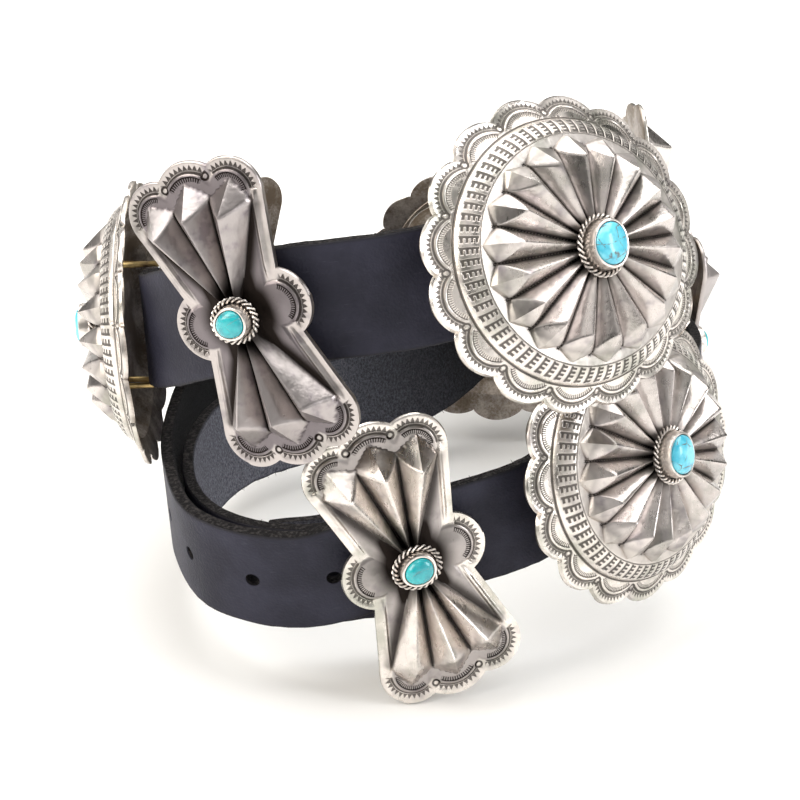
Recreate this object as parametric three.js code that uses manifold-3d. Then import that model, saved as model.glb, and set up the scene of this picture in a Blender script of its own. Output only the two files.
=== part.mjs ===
// A concho belt: a black leather strap that carries fluted silver conchos and butterfly
// spacers, each set with a turquoise. The belt is coiled two and a half turns and stands
// on the rims of its lower ornaments. Millimetres, +Z up, the open front of the coil
// facing -Y. Every ornament slides on the strap on two wire staples behind its plate.
import * as THREE from 'three';
import { ConvexGeometry } from 'three/addons/geometries/ConvexGeometry.js';
import { mergeVertices } from 'three/addons/utils/BufferGeometryUtils.js';
import Module from 'manifold-3d';

const wasm = await Module();
wasm.setup();

// Leather strap
const strapWidth = 26;
const strapThickness = 3;
const strapStep = 9.5;
const tipLength = 20;
const holeDiameter = 3.4;
const holePitch = 18.5;
const holeCount = 4;
const firstHoleFromTip = 101;

// Silver sheet, wire and the play between pieces
const sheetGauge = 1.2;
const wireGauge = 1.4;
const play = 0.3;
const wirePlay = 0.9;
const seatGap = 1.4;

// Concho: scalloped rim, domed band, fluted star
const conchoWidth = 78;
const conchoHeight = 69;
const scallopCount = 16;
const scallopDepth = 2.6;
const rimDish = 2.2;
const bandFootRadius = 32.6;
const bandTopRadius = 28;
const bandTopRise = 7.2;
const domeRise = 9.6;
const fluteCount = 18;
const fluteHubRadius = 4.4;
const fluteTipRadius = 27.8;
const fluteCrestRadius = 21.8;
const fluteValleyRadius = 25;
const fluteCrestRise = 13.6;
const fluteHubRise = 12;
const fluteValleyDepth = 1.2;
const fluteEdgeRise = 0.9;
const conchoStapleSpread = 24;

// Butterfly: hourglass plate with lobed ends and two ears
const butterflyLength = 70;
const butterflyWidth = 34;
const earRadius = 8;
const endLobeRadius = 9.4;
const cornerLobeRadius = 7.7;
const fanAngle = 21;
const fanHubRadius = 3.4;
const fanTipRadius = 30;
const fanCrestRadius = 23.4;
const fanValleyRadius = 26.2;
const fanCrestRise = 8.6;
const fanHubRise = 4.2;
const fanEdgeRise = 1.1;
const butterflyStapleSpread = 11;

// Turquoise settings
const conchoStoneRadius = 4.8;
const butterflyStoneRadius = 3.3;
const bezelWall = 0.5;
const bezelHeight = 4;
const stoneDome = 1.9;
const ropeGauge = 1.5;
const settingSides = 8;

// Buckle at the hidden inner end
const buckleLength = 20;
const buckleBar = 2.6;
const prongWidth = 3;
const foldLength = 24;

// The coil's reach is the distance between neighbouring ornaments
const ornamentGap = 24;
const coilReach = (conchoWidth + butterflyWidth) / 2 + ornamentGap;

// Route of the strap's middle line from its tip to its buckle, chosen by eye. Across and
// away are shares of the coil's reach and rise is a share of the concho's height. Lean is
// how far the strap's top edge tips outwards. An ornament tips further by its own tip
// and turns on its staples by its roll. All three are in degrees.
const route = [
  { across: -0.48, away: 0.94, rise: 0.46, lean: 10 },
  { across: -0.64, away: 0.62, rise: 0.45, lean: 5 },
  { across: -0.7, away: 0.18, rise: 0.46, lean: 3 },
  { across: -0.675, away: -0.24, rise: 0.47, lean: 4 },
  { across: -0.55, away: -0.55, rise: 0.46, lean: 9 },
  { across: -0.28, away: -0.66, rise: 0.46, lean: 9 },
  { across: 0.02, away: -0.625, rise: 0.555, lean: 2, holds: 'butterfly', tip: -9, roll: 7 },
  { across: 0.37, away: -0.49, rise: 0.61, lean: -5 },
  { across: 0.635, away: -0.235, rise: 0.68, lean: -12, holds: 'concho', tip: -6, roll: 0 },
  { across: 0.86, away: 0.1, rise: 0.62, lean: -8 },
  { across: 0.965, away: 0.45, rise: 0.58, lean: -3 },
  { across: 0.91, away: 0.82, rise: 0.558, lean: 0, holds: 'butterfly', tip: 0, roll: 0 },
  { across: 0.75, away: 1.24, rise: 0.55, lean: 0 },
  { across: 0.34, away: 1.42, rise: 0.545, lean: 0, holds: 'concho', tip: 0, roll: 0 },
  { across: -0.12, away: 1.43, rise: 0.55, lean: 0 },
  { across: -0.55, away: 1.24, rise: 0.5565, lean: 2, holds: 'butterfly', tip: 0, roll: 0 },
  { across: -0.67, away: 0.94, rise: 0.6, lean: 3 },
  { across: -0.67, away: 0.5, rise: 0.8, lean: 3 },
  { across: -0.73, away: 0.05, rise: 1.03, lean: 3, holds: 'concho', tip: 0, roll: 0 },
  { across: -0.68, away: -0.38, rise: 1.21, lean: 2 },
  { across: -0.4, away: -0.66, rise: 1.42, lean: -2, holds: 'butterfly', tip: 0, roll: 8 },
  { across: 0.03, away: -0.685, rise: 1.5, lean: -8 },
  { across: 0.405, away: -0.5, rise: 1.53, lean: -18, holds: 'concho', tip: -7, roll: 0 },
  { across: 0.69, away: -0.17, rise: 1.4, lean: -14 },
  { across: 0.73, away: 0.43, rise: 1.16, lean: -4, holds: 'butterfly', tip: 0, roll: 0 },
  { across: 0.655, away: 0.765, rise: 0.89, lean: 0 },
  { across: 0.37, away: 0.935, rise: 0.675, lean: 4, holds: 'concho', tip: 0, roll: 0 },
  { across: 0.09, away: 0.815, rise: 0.455, lean: 11 },
  { across: -0.21, away: 0.71, rise: 0.35, lean: 12 },
  { across: -0.53, away: 0.42, rise: 0.365, lean: 9 },
  { across: -0.635, away: 0.05, rise: 0.385, lean: 4 },
  { across: -0.605, away: -0.25, rise: 0.375, lean: 4 },
  { across: -0.48, away: -0.48, rise: 0.405, lean: 4 },
  { across: -0.3, away: -0.565, rise: 0.415, lean: 3 },
  { across: -0.09, away: -0.552, rise: 0.435, lean: 2 },
];

const leather = new THREE.MeshStandardMaterial({ color: 0x1b1b22, roughness: 0.6 });
const silver = new THREE.MeshStandardMaterial({ color: 0xb9b4a8, roughness: 0.35, metalness: 1 });
const turquoise = new THREE.MeshStandardMaterial({ color: 0x1fa9b8, roughness: 0.3 });
const brass = new THREE.MeshStandardMaterial({ color: 0xa98b4a, roughness: 0.4, metalness: 1 });

const radians = THREE.MathUtils.degToRad;

// A closed geometry as a solid that can be joined and cut.
function solidOf(geometry, matrix = new THREE.Matrix4()) {
  const bare = new THREE.BufferGeometry();
  bare.setAttribute('position', geometry.getAttribute('position').clone());
  bare.setIndex(geometry.index);
  bare.applyMatrix4(matrix);
  const merged = mergeVertices(bare, 1e-4);
  const indices = merged.index ? merged.index.array : [...merged.getAttribute('position').array.keys()];
  return new wasm.Manifold(new wasm.Mesh({
    numProp: 3,
    vertProperties: new Float32Array(merged.getAttribute('position').array),
    triVerts: new Uint32Array(indices),
  }));
}

function joined(solids) {
  return solids.reduce((whole, next) => whole.add(next));
}

function geometryOf(solid) {
  const mesh = solid.getMesh();
  const geometry = new THREE.BufferGeometry();
  geometry.setAttribute('position', new THREE.BufferAttribute(mesh.vertProperties, mesh.numProp));
  geometry.setIndex(new THREE.BufferAttribute(mesh.triVerts, 1));
  geometry.computeVertexNormals();
  return geometry;
}

// A closed body through rings of equally many corners, capped at both ends.
function loft(rings) {
  const sides = rings[0].length;
  const indices = [];
  for (let ring = 0; ring < rings.length - 1; ring++) {
    for (let side = 0; side < sides; side++) {
      const a = ring * sides + side;
      const b = ring * sides + (side + 1) % sides;
      indices.push(a, b, b + sides, a, b + sides, a + sides);
    }
  }
  const last = (rings.length - 1) * sides;
  for (let side = 1; side < sides - 1; side++) {
    indices.push(0, side + 1, side);
    indices.push(last, last + side, last + side + 1);
  }
  const geometry = new THREE.BufferGeometry().setFromPoints(rings.flat());
  geometry.setIndex(indices);
  return geometry;
}

// A closed tube whose rings also join up, last to first.
function closedLoft(rings) {
  const sides = rings[0].length;
  const count = rings.length;
  const indices = [];
  for (let ring = 0; ring < count; ring++) {
    for (let side = 0; side < sides; side++) {
      const a = ring * sides + side;
      const b = ring * sides + (side + 1) % sides;
      const c = ((ring + 1) % count) * sides + (side + 1) % sides;
      const d = ((ring + 1) % count) * sides + side;
      indices.push(a, b, c, a, c, d);
    }
  }
  const geometry = new THREE.BufferGeometry().setFromPoints(rings.flat());
  geometry.setIndex(indices);
  return geometry;
}

// A body of revolution about Z from radius and height pairs, lowest point first.
function turned(profile, sides) {
  const points = profile.map(([radius, height]) => new THREE.Vector2(radius, height));
  return new THREE.LatheGeometry(points, sides).rotateX(Math.PI / 2);
}

function boxBetween(low, high) {
  const size = new THREE.Vector3().subVectors(high, low);
  const middle = new THREE.Vector3().addVectors(low, high).multiplyScalar(0.5);
  return new THREE.BoxGeometry(size.x, size.y, size.z).translate(middle.x, middle.y, middle.z);
}

// The strap's middle line, and at any place on it the frame of the leather there: along
// the strap, across its width and out of its face.
const middleLine = new THREE.CatmullRomCurve3(
  route.map((row) => new THREE.Vector3(row.across * coilReach, row.away * coilReach, row.rise * conchoHeight)),
);
middleLine.arcLengthDivisions = 40 * route.length;
const leanLine = new THREE.CatmullRomCurve3(route.map((row, i) => new THREE.Vector3(row.lean, i, 0)));
const strapLength = middleLine.getLength();

function frameAt(turnShare) {
  const origin = middleLine.getPoint(turnShare);
  const along = middleLine.getTangent(turnShare);
  const up = new THREE.Vector3(0, 0, 1).addScaledVector(along, -along.z).normalize();
  const lean = radians(leanLine.getPoint(turnShare).x);
  const across = up.applyAxisAngle(along, lean);
  const out = new THREE.Vector3().crossVectors(along, across);
  return new THREE.Matrix4().makeBasis(along, across, out).setPosition(origin);
}

function frameAtLength(distance) {
  return frameAt(middleLine.getUtoTmapping(distance / strapLength));
}

// Length along the strap of a row of the route.
function lengthAtRow(row) {
  const lengths = middleLine.getLengths();
  return lengths[Math.round((row / (route.length - 1)) * (lengths.length - 1))];
}

// Leather strap: pointed tip, punched holes, and its end folded back round the buckle's bar
const tipOutline = [
  { along: 0, width: 0.3 },
  { along: 0.3, width: 0.68 },
  { along: 0.65, width: 0.9 },
  { along: 1, width: 1 },
];

function strapSection(distance, widthShare) {
  const frame = frameAtLength(distance);
  const half = (strapWidth / 2) * widthShare;
  const face = strapThickness / 2;
  return [[half, -face], [half, face], [-half, face], [-half, -face]]
    .map(([y, z]) => new THREE.Vector3(0, y, z).applyMatrix4(frame));
}

// The fold lies inside the coil: the doubled leather and a loop round the buckle's bar.
const barHole = Math.hypot(buckleBar, buckleBar) / 2 + play;
const loopRadius = barHole + strapThickness * 0.8;
const barDepth = strapThickness / 2 - loopRadius;

function barCylinder(radius, frame) {
  const cylinder = new THREE.CylinderGeometry(radius, radius, strapWidth, 16);
  return solidOf(cylinder.translate(loopRadius / 2, 0, barDepth), frame);
}

function makeStrap() {
  const distances = tipOutline.map((row) => [row.along * tipLength, row.width]);
  const steps = Math.ceil((strapLength - tipLength) / strapStep);
  for (let step = 1; step <= steps; step++) {
    distances.push([tipLength + ((strapLength - tipLength) * step) / steps, 1]);
  }
  let strap = solidOf(loft(distances.map(([distance, width]) => strapSection(distance, width))));
  const punch = new THREE.CylinderGeometry(holeDiameter / 2, holeDiameter / 2, strapThickness * 2, 10);
  punch.rotateX(Math.PI / 2);
  for (let hole = 0; hole < holeCount; hole++) {
    strap = strap.subtract(solidOf(punch, frameAtLength(firstHoleFromTip + hole * holePitch)));
  }
  const end = frameAtLength(strapLength);
  const half = strapWidth / 2;
  const doubled = boxBetween(
    new THREE.Vector3(-foldLength, -half, -strapThickness * 1.5),
    new THREE.Vector3(loopRadius / 2, half, strapThickness / 2),
  );
  const slotHalf = prongWidth / 2 + play;
  const slot = boxBetween(
    new THREE.Vector3(-loopRadius / 2, -slotHalf, barDepth - loopRadius * 1.1),
    new THREE.Vector3(loopRadius * 2, slotHalf, strapThickness),
  );
  return strap
    .add(solidOf(doubled, end))
    .add(barCylinder(loopRadius, end))
    .subtract(barCylinder(barHole, end.clone().multiply(new THREE.Matrix4().makeScale(1, 1.1, 1))))
    .subtract(solidOf(slot, end));
}

// A ridge that rises from a hub, crests near its outer end and falls to a pointed tip.
function ridge(angle, halfAngle) {
  const at = (radius, turn, height) => new THREE.Vector3(
    radius * Math.cos(angle + turn), radius * Math.sin(angle + turn), height);
  const foot = sheetGauge / 2;
  const lip = foot + fanEdgeRise;
  return new ConvexGeometry([
    at(fanHubRadius, 0, fanHubRise),
    at(fanHubRadius, -halfAngle, foot),
    at(fanHubRadius, halfAngle, foot),
    at(fanCrestRadius, 0, fanCrestRise),
    at(fanValleyRadius, -halfAngle, lip),
    at(fanValleyRadius, halfAngle, lip),
    at(fanValleyRadius, -halfAngle, foot),
    at(fanValleyRadius, halfAngle, foot),
    at(fanTipRadius, 0, lip),
    at(fanTipRadius, 0, foot),
  ]);
}

// Turquoise settings: a rope ring round a bezel cup, and the cabochon inside it.
function setting(stoneRadius, baseRise) {
  const inner = stoneRadius + play;
  const outer = inner + bezelWall;
  const rope = outer + ropeGauge;
  const seat = baseRise + bezelHeight * 0.25;
  return turned([
    [0, baseRise - sheetGauge],
    [rope - ropeGauge * 0.2, baseRise - sheetGauge],
    [rope, baseRise + ropeGauge * 0.4],
    [rope - ropeGauge * 0.5, baseRise + ropeGauge],
    [outer, baseRise + ropeGauge * 0.7],
    [outer, baseRise + bezelHeight],
    [inner, baseRise + bezelHeight],
    [inner, seat],
    [0, seat],
  ], settingSides);
}

function cabochon(stoneRadius, baseRise) {
  const seat = baseRise + bezelHeight * 0.25 + play;
  const girdle = baseRise + bezelHeight;
  return turned([
    [0, seat],
    [stoneRadius, seat],
    [stoneRadius, girdle],
    [stoneRadius * 0.75, girdle + stoneDome * 0.6],
    [0, girdle + stoneDome],
  ], settingSides);
}

// Staples: a wire bridge behind the plate at each end of the spread, round the strap.
function staples(rowLength, spread, plateFrame, riseAt) {
  const toPlate = plateFrame.clone().invert();
  const gap = strapThickness / 2 + wirePlay;
  const side = strapWidth / 2 + wirePlay * 0.7;
  return [-spread / 2, spread / 2].map((shift) => {
    const frame = toPlate.clone().multiply(frameAtLength(rowLength + shift));
    const centre = new THREE.Vector3().setFromMatrixPosition(frame);
    const reach = riseAt(Math.hypot(centre.x, side + wireGauge / 2)) - centre.z;
    const half = wireGauge / 2;
    const leg = (sign) => boxBetween(
      new THREE.Vector3(-half, sign > 0 ? side : -side - wireGauge, -gap - wireGauge),
      new THREE.Vector3(half, sign > 0 ? side + wireGauge : -side, reach),
    );
    const bridge = boxBetween(
      new THREE.Vector3(-half, -side - wireGauge, -gap - wireGauge),
      new THREE.Vector3(half, side + wireGauge, -gap),
    );
    return joined([leg(1), leg(-1), bridge].map((piece) => solidOf(piece, frame)));
  });
}

// Concho
const oval = new THREE.Matrix4().makeScale(1, conchoHeight / conchoWidth, 1);

// The rim is a dished ring: scalloped outside, round inside, one sheet thick.
function scallopedRim() {
  const stepsPerScallop = 3;
  const steps = scallopCount * stepsPerScallop;
  const rings = [[], [], [], []];
  for (let i = 0; i < steps; i++) {
    const share = (i % stepsPerScallop) / stepsPerScallop;
    const outer = conchoWidth / 2 - scallopDepth * (1 - Math.sin(Math.PI * share) ** 0.7);
    const inner = bandFootRadius - sheetGauge * 0.6;
    const angle = (2 * Math.PI * i) / steps;
    const at = (radius, height) => new THREE.Vector3(radius * Math.cos(angle), radius * Math.sin(angle), height);
    rings[0].push(at(inner, rimDish));
    rings[1].push(at(outer, 0));
    rings[2].push(at(outer, sheetGauge));
    rings[3].push(at(inner, rimDish + sheetGauge));
  }
  return closedLoft(rings);
}

function domeTop(radius) {
  return domeRise - ((domeRise - bandTopRise) * radius) / bandTopRadius;
}

// Band and star are one body: crests and valleys of the flutes take turns round the rings
// above the dome, and the rings below are round.
function domeAndStar() {
  const lip = sheetGauge * 0.3;
  const edge = (radius) => domeTop(radius) + fluteEdgeRise;
  const hubValley = fluteHubRise - fluteValleyDepth;
  const share = (fluteCrestRadius - fluteHubRadius) / (fluteValleyRadius - fluteHubRadius);
  const innerValley = hubValley + (edge(fluteValleyRadius) - hubValley) * share;
  const rings = [
    { crest: [fluteHubRadius, domeRise - sheetGauge] },
    { crest: [bandTopRadius - sheetGauge / 2, bandTopRise - sheetGauge] },
    { crest: [bandFootRadius - sheetGauge, rimDish + lip] },
    { crest: [bandFootRadius + lip, rimDish + lip] },
    { crest: [bandFootRadius, rimDish + sheetGauge * 1.6] },
    { crest: [bandTopRadius, bandTopRise] },
    { crest: [fluteTipRadius, domeTop(fluteTipRadius)], valley: [fluteValleyRadius, domeTop(fluteValleyRadius)] },
    { crest: [fluteTipRadius, edge(fluteTipRadius)], valley: [fluteValleyRadius, edge(fluteValleyRadius)] },
    { crest: [fluteCrestRadius, fluteCrestRise], valley: [fluteCrestRadius, innerValley] },
    { crest: [fluteHubRadius, fluteHubRise], valley: [fluteHubRadius, hubValley] },
  ];
  return loft(rings.map((ring) => {
    const points = [];
    for (let i = 0; i < fluteCount * 2; i++) {
      const [radius, height] = i % 2 === 0 && ring.valley ? ring.valley : ring.crest;
      const angle = (Math.PI * i) / fluteCount;
      points.push(new THREE.Vector3(radius * Math.cos(angle), radius * Math.sin(angle), height));
    }
    return points;
  }));
}

function makeConcho(rowLength, plateFrame) {
  const riseAt = (radius) => domeTop(radius) - sheetGauge / 2;
  return joined([
    solidOf(scallopedRim(), oval),
    solidOf(domeAndStar(), oval),
    solidOf(setting(conchoStoneRadius, fluteHubRise)),
    ...staples(rowLength, conchoStapleSpread, plateFrame, riseAt),
  ]);
}

// Butterfly
function arcPoints(centre, radius, from, to, steps) {
  const points = [];
  for (let i = 0; i <= steps; i++) {
    const angle = radians(from + ((to - from) * i) / steps);
    points.push(new THREE.Vector2(centre[0] + radius * Math.cos(angle), centre[1] + radius * Math.sin(angle)));
  }
  return points;
}

// One quarter from the ear's outermost point to the middle of the end lobe, then mirrored.
function butterflyOutline() {
  const halfLength = butterflyLength / 2;
  const halfWidth = butterflyWidth / 2;
  const ear = arcPoints([halfWidth - earRadius, 0], earRadius, 0, 66, 4);
  const corner = arcPoints([halfWidth - cornerLobeRadius, halfLength - 9.5], cornerLobeRadius, -8, 116, 5);
  const endLobe = arcPoints([0, halfLength - endLobeRadius], endLobeRadius, 53, 90, 2).slice(0, -1);
  const quarter = [...ear, ...corner, ...endLobe];
  const turn = (sx, sy, list) => list.map((p) => new THREE.Vector2(p.x * sx, p.y * sy));
  const crown = new THREE.Vector2(0, halfLength);
  return [
    ...quarter, crown,
    ...turn(-1, 1, quarter).reverse(),
    ...turn(-1, -1, quarter).slice(1), new THREE.Vector2(0, -halfLength),
    ...turn(1, -1, quarter).reverse().slice(0, -1),
  ];
}

function fans() {
  const ridges = [];
  for (const end of [90, 270]) {
    for (const side of [-fanAngle, 0, fanAngle]) {
      ridges.push(solidOf(ridge(radians(end + side), radians(fanAngle * 0.52))));
    }
  }
  return joined(ridges);
}

function makeButterfly(rowLength, plateFrame) {
  const plate = new THREE.ExtrudeGeometry(new THREE.Shape(butterflyOutline()), { depth: sheetGauge, bevelEnabled: false });
  return joined([
    solidOf(plate),
    fans(),
    solidOf(setting(butterflyStoneRadius, fanHubRise)),
    ...staples(rowLength, butterflyStapleSpread, plateFrame, () => sheetGauge / 2),
  ]);
}

// Buckle: a plain frame with its prong fast on the bar that the strap's end folds round
function makeBuckle() {
  const half = strapWidth / 2 + play + buckleBar;
  const corners = (x0, x1, y) => [[x0, -y], [x1, -y], [x1, y], [x0, y]].map(([a, b]) => new THREE.Vector2(a, b));
  const frame = new THREE.Shape(corners(-buckleBar / 2, buckleLength, half));
  frame.holes.push(new THREE.Path(corners(buckleBar / 2, buckleLength - buckleBar, half - buckleBar)));
  const ring = new THREE.ExtrudeGeometry(frame, { depth: buckleBar, bevelEnabled: false });
  ring.translate(0, 0, -buckleBar / 2);
  const prong = boxBetween(
    new THREE.Vector3(-buckleBar / 2, -prongWidth / 2, 0),
    new THREE.Vector3(buckleLength, prongWidth / 2, buckleBar),
  );
  const place = new THREE.Matrix4().makeTranslation(loopRadius / 2, 0, barDepth);
  return joined([solidOf(ring, place), solidOf(prong, place)]);
}

const belt = new THREE.Group();

function addPiece(name, solid, material, frame = new THREE.Matrix4()) {
  const mesh = new THREE.Mesh(geometryOf(solid), material);
  mesh.name = name;
  mesh.applyMatrix4(frame);
  belt.add(mesh);
}

addPiece('strap', makeStrap(), leather);
addPiece('buckle', makeBuckle(), brass, frameAtLength(strapLength));

// A tipped ornament stands off by as much as its edge comes nearer to the strap.
function seatOver(tip) {
  return strapThickness / 2 + seatGap + (strapWidth / 2) * Math.abs(Math.sin(radians(tip)));
}

const kinds = {
  concho: { make: makeConcho, stoneRadius: conchoStoneRadius, stoneBase: fluteHubRise, count: 0 },
  butterfly: { make: makeButterfly, stoneRadius: butterflyStoneRadius, stoneBase: fanHubRise, count: 0 },
};
route.forEach((row, i) => {
  if (!row.holds) return;
  const kind = kinds[row.holds];
  kind.count += 1;
  const rowLength = lengthAtRow(i);
  const plateFrame = frameAtLength(rowLength)
    .multiply(new THREE.Matrix4().makeTranslation(0, 0, seatOver(row.tip)))
    .multiply(new THREE.Matrix4().makeRotationX(radians(row.tip)))
    .multiply(new THREE.Matrix4().makeRotationZ(radians(row.roll)));
  addPiece(`${row.holds}_${kind.count}`, kind.make(rowLength, plateFrame), silver, plateFrame);
  addPiece(`${row.holds}_stone_${kind.count}`, solidOf(cabochon(kind.stoneRadius, kind.stoneBase)), turquoise, plateFrame);
});

// The origin is the middle of the footprint, on the surface that the belt stands on.
const bounds = new THREE.Box3().setFromObject(belt, true);
const middle = bounds.getCenter(new THREE.Vector3());
belt.position.set(-middle.x, -middle.y, -bounds.min.z);

export default belt;
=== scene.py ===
# %% [markdown]
# # A concho belt in a loose coil
# A black leather strap carries five scalloped silver discs, the conchos, and five
# butterfly-shaped spacers between them. All are stamped by hand, darkened in their
# recesses and set with turquoise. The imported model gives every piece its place. This
# lesson dresses it, one kind of piece at a time.

# %% Load the frame
import math

import bmesh
import bpy
import numpy as np
from mathutils import Matrix, Vector


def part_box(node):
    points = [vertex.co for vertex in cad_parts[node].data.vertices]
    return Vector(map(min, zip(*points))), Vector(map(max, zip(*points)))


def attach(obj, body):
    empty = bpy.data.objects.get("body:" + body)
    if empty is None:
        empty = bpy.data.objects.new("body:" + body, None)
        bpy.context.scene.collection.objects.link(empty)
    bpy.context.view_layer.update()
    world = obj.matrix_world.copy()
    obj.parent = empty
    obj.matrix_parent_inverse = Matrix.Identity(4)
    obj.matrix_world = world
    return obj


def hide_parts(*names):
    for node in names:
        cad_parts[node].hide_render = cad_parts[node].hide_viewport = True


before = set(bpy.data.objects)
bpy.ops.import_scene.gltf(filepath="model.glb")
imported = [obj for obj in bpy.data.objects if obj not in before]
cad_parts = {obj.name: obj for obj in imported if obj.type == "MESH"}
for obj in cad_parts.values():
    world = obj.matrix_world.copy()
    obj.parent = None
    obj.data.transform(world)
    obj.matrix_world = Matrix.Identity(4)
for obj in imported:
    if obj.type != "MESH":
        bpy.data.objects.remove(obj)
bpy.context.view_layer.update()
MM = 0.001
TURN = 2 * math.pi
print("solids in the frame:", len(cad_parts))

# %% [markdown]
# ## Where the strap runs
# The strap is one flat piece of leather that was cut straight and then coiled, so it is
# easiest to model it straight and bend it at the end. The bend needs a middle line. It
# repeats the route of the solid model: shares of the coil's reach, then the lean of the
# top edge, and what the strap holds there with that piece's own tip and roll.

# %% The route
STRAP_WIDTH = 26.0
STRAP_THICKNESS = 3.0
COIL_REACH = 80.0
CONCHO_WIDTH = 78.0
CONCHO_HEIGHT = 69.0
TIP_LENGTH = 20.0
STRAP_STEP = 9.5
ROUTE = [
    (-0.48, 0.94, 0.46, 10),
    (-0.64, 0.62, 0.45, 5),
    (-0.7, 0.18, 0.46, 3),
    (-0.675, -0.24, 0.47, 4),
    (-0.55, -0.55, 0.46, 9),
    (-0.28, -0.66, 0.46, 9),
    (0.02, -0.625, 0.555, 2, "butterfly", -9, 7),
    (0.37, -0.49, 0.61, -5),
    (0.635, -0.235, 0.68, -12, "concho", -6, 0),
    (0.86, 0.1, 0.62, -8),
    (0.965, 0.45, 0.58, -3),
    (0.91, 0.82, 0.558, 0, "butterfly", 0, 0),
    (0.75, 1.24, 0.55, 0),
    (0.34, 1.42, 0.545, 0, "concho", 0, 0),
    (-0.12, 1.43, 0.55, 0),
    (-0.55, 1.24, 0.5565, 2, "butterfly", 0, 0),
    (-0.67, 0.94, 0.6, 3),
    (-0.67, 0.5, 0.8, 3),
    (-0.73, 0.05, 1.03, 3, "concho", 0, 0),
    (-0.68, -0.38, 1.21, 2),
    (-0.4, -0.66, 1.42, -2, "butterfly", 0, 8),
    (0.03, -0.685, 1.5, -8),
    (0.405, -0.5, 1.53, -18, "concho", -7, 0),
    (0.69, -0.17, 1.4, -14),
    (0.73, 0.43, 1.16, -4, "butterfly", 0, 0),
    (0.655, 0.765, 0.89, 0),
    (0.37, 0.935, 0.675, 4, "concho", 0, 0),
    (0.09, 0.815, 0.455, 11),
    (-0.21, 0.71, 0.35, 12),
    (-0.53, 0.42, 0.365, 9),
    (-0.635, 0.05, 0.385, 4),
    (-0.605, -0.25, 0.375, 4),
    (-0.48, -0.48, 0.405, 4),
    (-0.3, -0.565, 0.415, 3),
    (-0.09, -0.552, 0.435, 2),
]
LAST_ROW = len(ROUTE) - 1


def smooth_line(points, shares):
    """Places on a smooth curve through the points, at shares from 0 to 1 of its rows."""
    points = np.asarray(points, float)
    place = np.clip(shares, 0, 1) * (len(points) - 1)
    left = np.minimum(place.astype(int), len(points) - 2)
    part = (place - left)[:, None]
    padded = np.vstack([2 * points[0] - points[1], points, 2 * points[-1] - points[-2]])
    before, start, end, after = (padded[left + k] for k in range(4))
    gap_in, gap, gap_out = (
        np.sum((b - a) ** 2, axis=1)[:, None] ** 0.25
        for a, b in ((before, start), (start, end), (end, after))
    )
    pull_start = (start - before) / gap_in - (end - before) / (gap_in + gap) + (end - start) / gap
    pull_end = (end - start) / gap - (after - start) / (gap + gap_out) + (after - end) / gap_out
    pull_start, pull_end = pull_start * gap, pull_end * gap
    square = -3 * start + 3 * end - 2 * pull_start - pull_end
    cube = 2 * start - 2 * end + pull_start + pull_end
    return start + pull_start * part + square * part**2 + cube * part**3


middle_rows = [(r[0] * COIL_REACH, r[1] * COIL_REACH, r[2] * CONCHO_HEIGHT) for r in ROUTE]
lean_rows = [(r[3], i) for i, r in enumerate(ROUTE)]
table_shares = np.linspace(0, 1, 40 * len(ROUTE) + 1)
table_points = smooth_line(middle_rows, table_shares)
table_steps = np.linalg.norm(np.diff(table_points, axis=0), axis=1)
table_lengths = np.concatenate([[0], np.cumsum(table_steps)])
strap_length = table_lengths[-1]
print("strap length in mm:", round(strap_length))

# %% [markdown]
# At any distance along the strap the leather has its own directions: along the strap,
# across its width, and out of its face. A piece is modelled flat, and these turn it into
# place.


# %% Directions along the strap
def unit(vectors):
    return vectors / np.linalg.norm(vectors, axis=-1, keepdims=True)


def strap_frames(distances):
    """Middle point, along, across and out at each distance in mm along the strap."""
    shares = np.interp(distances, table_lengths, table_shares)
    step = 1e-4
    middle = smooth_line(middle_rows, shares)
    ahead = smooth_line(middle_rows, np.minimum(shares + step, 1))
    behind = smooth_line(middle_rows, np.maximum(shares - step, 0))
    along = unit(ahead - behind)
    upright = unit(np.array([0, 0, 1.0]) - along * along[:, 2:3])
    lean = np.radians(smooth_line(lean_rows, shares)[:, :1])
    across = upright * np.cos(lean) + np.cross(along, upright) * np.sin(lean)
    return middle, along, across, np.cross(along, across)


def strap_corners():
    """Corners of the plain strap at the steps of the solid model."""
    steps = math.ceil((strap_length - TIP_LENGTH) / STRAP_STEP)
    places = TIP_LENGTH + (strap_length - TIP_LENGTH) * np.arange(steps + 1) / steps
    middle, _, across, out = strap_frames(places)
    half, face = STRAP_WIDTH / 2, STRAP_THICKNESS / 2
    return np.vstack([middle + across * y + out * z for y in (-half, half) for z in (-face, face)])


corners = strap_corners()
stand = np.array(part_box("strap")[0]) / MM - corners.min(axis=0)
misfit = np.array(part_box("strap")[1]) / MM - corners.max(axis=0) - stand
print("belt stands at", stand.round(2), "mm, misfit", misfit.round(3))

# %% [markdown]
# ## Shader maths in plain Python
# Stamped patterns are sums, folds and steps of a place on the plate. Written as nodes by
# hand they would fill pages, so one small class wraps a socket and lets Python's own
# operators add the Math nodes. Everything else comes from one method that adds a node.


# %% The finish bench
class Amount:
    """A number that varies over a surface, ready for Python's operators."""

    def __init__(self, bench, socket):
        self.bench = bench
        self.socket = socket

    def __add__(self, other):
        return self.bench.maths("ADD", self, other)

    def __sub__(self, other):
        return self.bench.maths("SUBTRACT", self, other)

    def __rsub__(self, other):
        return self.bench.maths("SUBTRACT", other, self)

    def __mul__(self, other):
        return self.bench.maths("MULTIPLY", self, other)

    def __abs__(self):
        return self.bench.maths("ABSOLUTE", self)

    __radd__ = __add__
    __rmul__ = __mul__


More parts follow.
